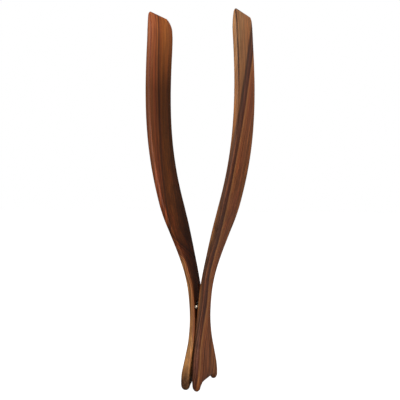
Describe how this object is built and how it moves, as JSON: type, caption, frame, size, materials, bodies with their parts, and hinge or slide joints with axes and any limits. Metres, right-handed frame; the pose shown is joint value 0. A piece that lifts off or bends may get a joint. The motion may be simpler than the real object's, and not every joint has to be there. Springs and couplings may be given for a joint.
{
  "type": "kitchen tongs",
  "caption": "Wooden spring-loaded kitchen tongs: curved arms with flared tails, held open by a torsion spring on a steel pin.",
  "frame": {"origin": "midway between the tails, at the height of their lowest points", "axes": "+Z along the tongs from the tails to the tips, +X towards the right arm, Y along the hinge pin and across the arms' width"},
  "size_m": [0.082, 0.0416, 0.309],
  "materials": {
    "oiled_wood": "oiled, satin",
    "steel": "drawn wire, satin"
  },
  "bodies": {
    "left_side": {"left_arm": "oiled_wood", "hinge_pin": "steel", "torsion_spring": "steel", "left_leg_staple": "steel"},
    "right_side": {"right_arm": "oiled_wood", "right_leg_staple": "steel"}
  },
  "joints": [
    {"name": "squeeze", "type": "hinge", "parent": "left_side", "child": "right_side", "pos_m": [0, 0, 0.065], "axis": [0, -1, 0], "range_deg": [0, 17], "stiffness_Nm_per_rad": 0.8, "springref_deg": -20.05, "deforming": ["torsion_spring"]}
  ]
}
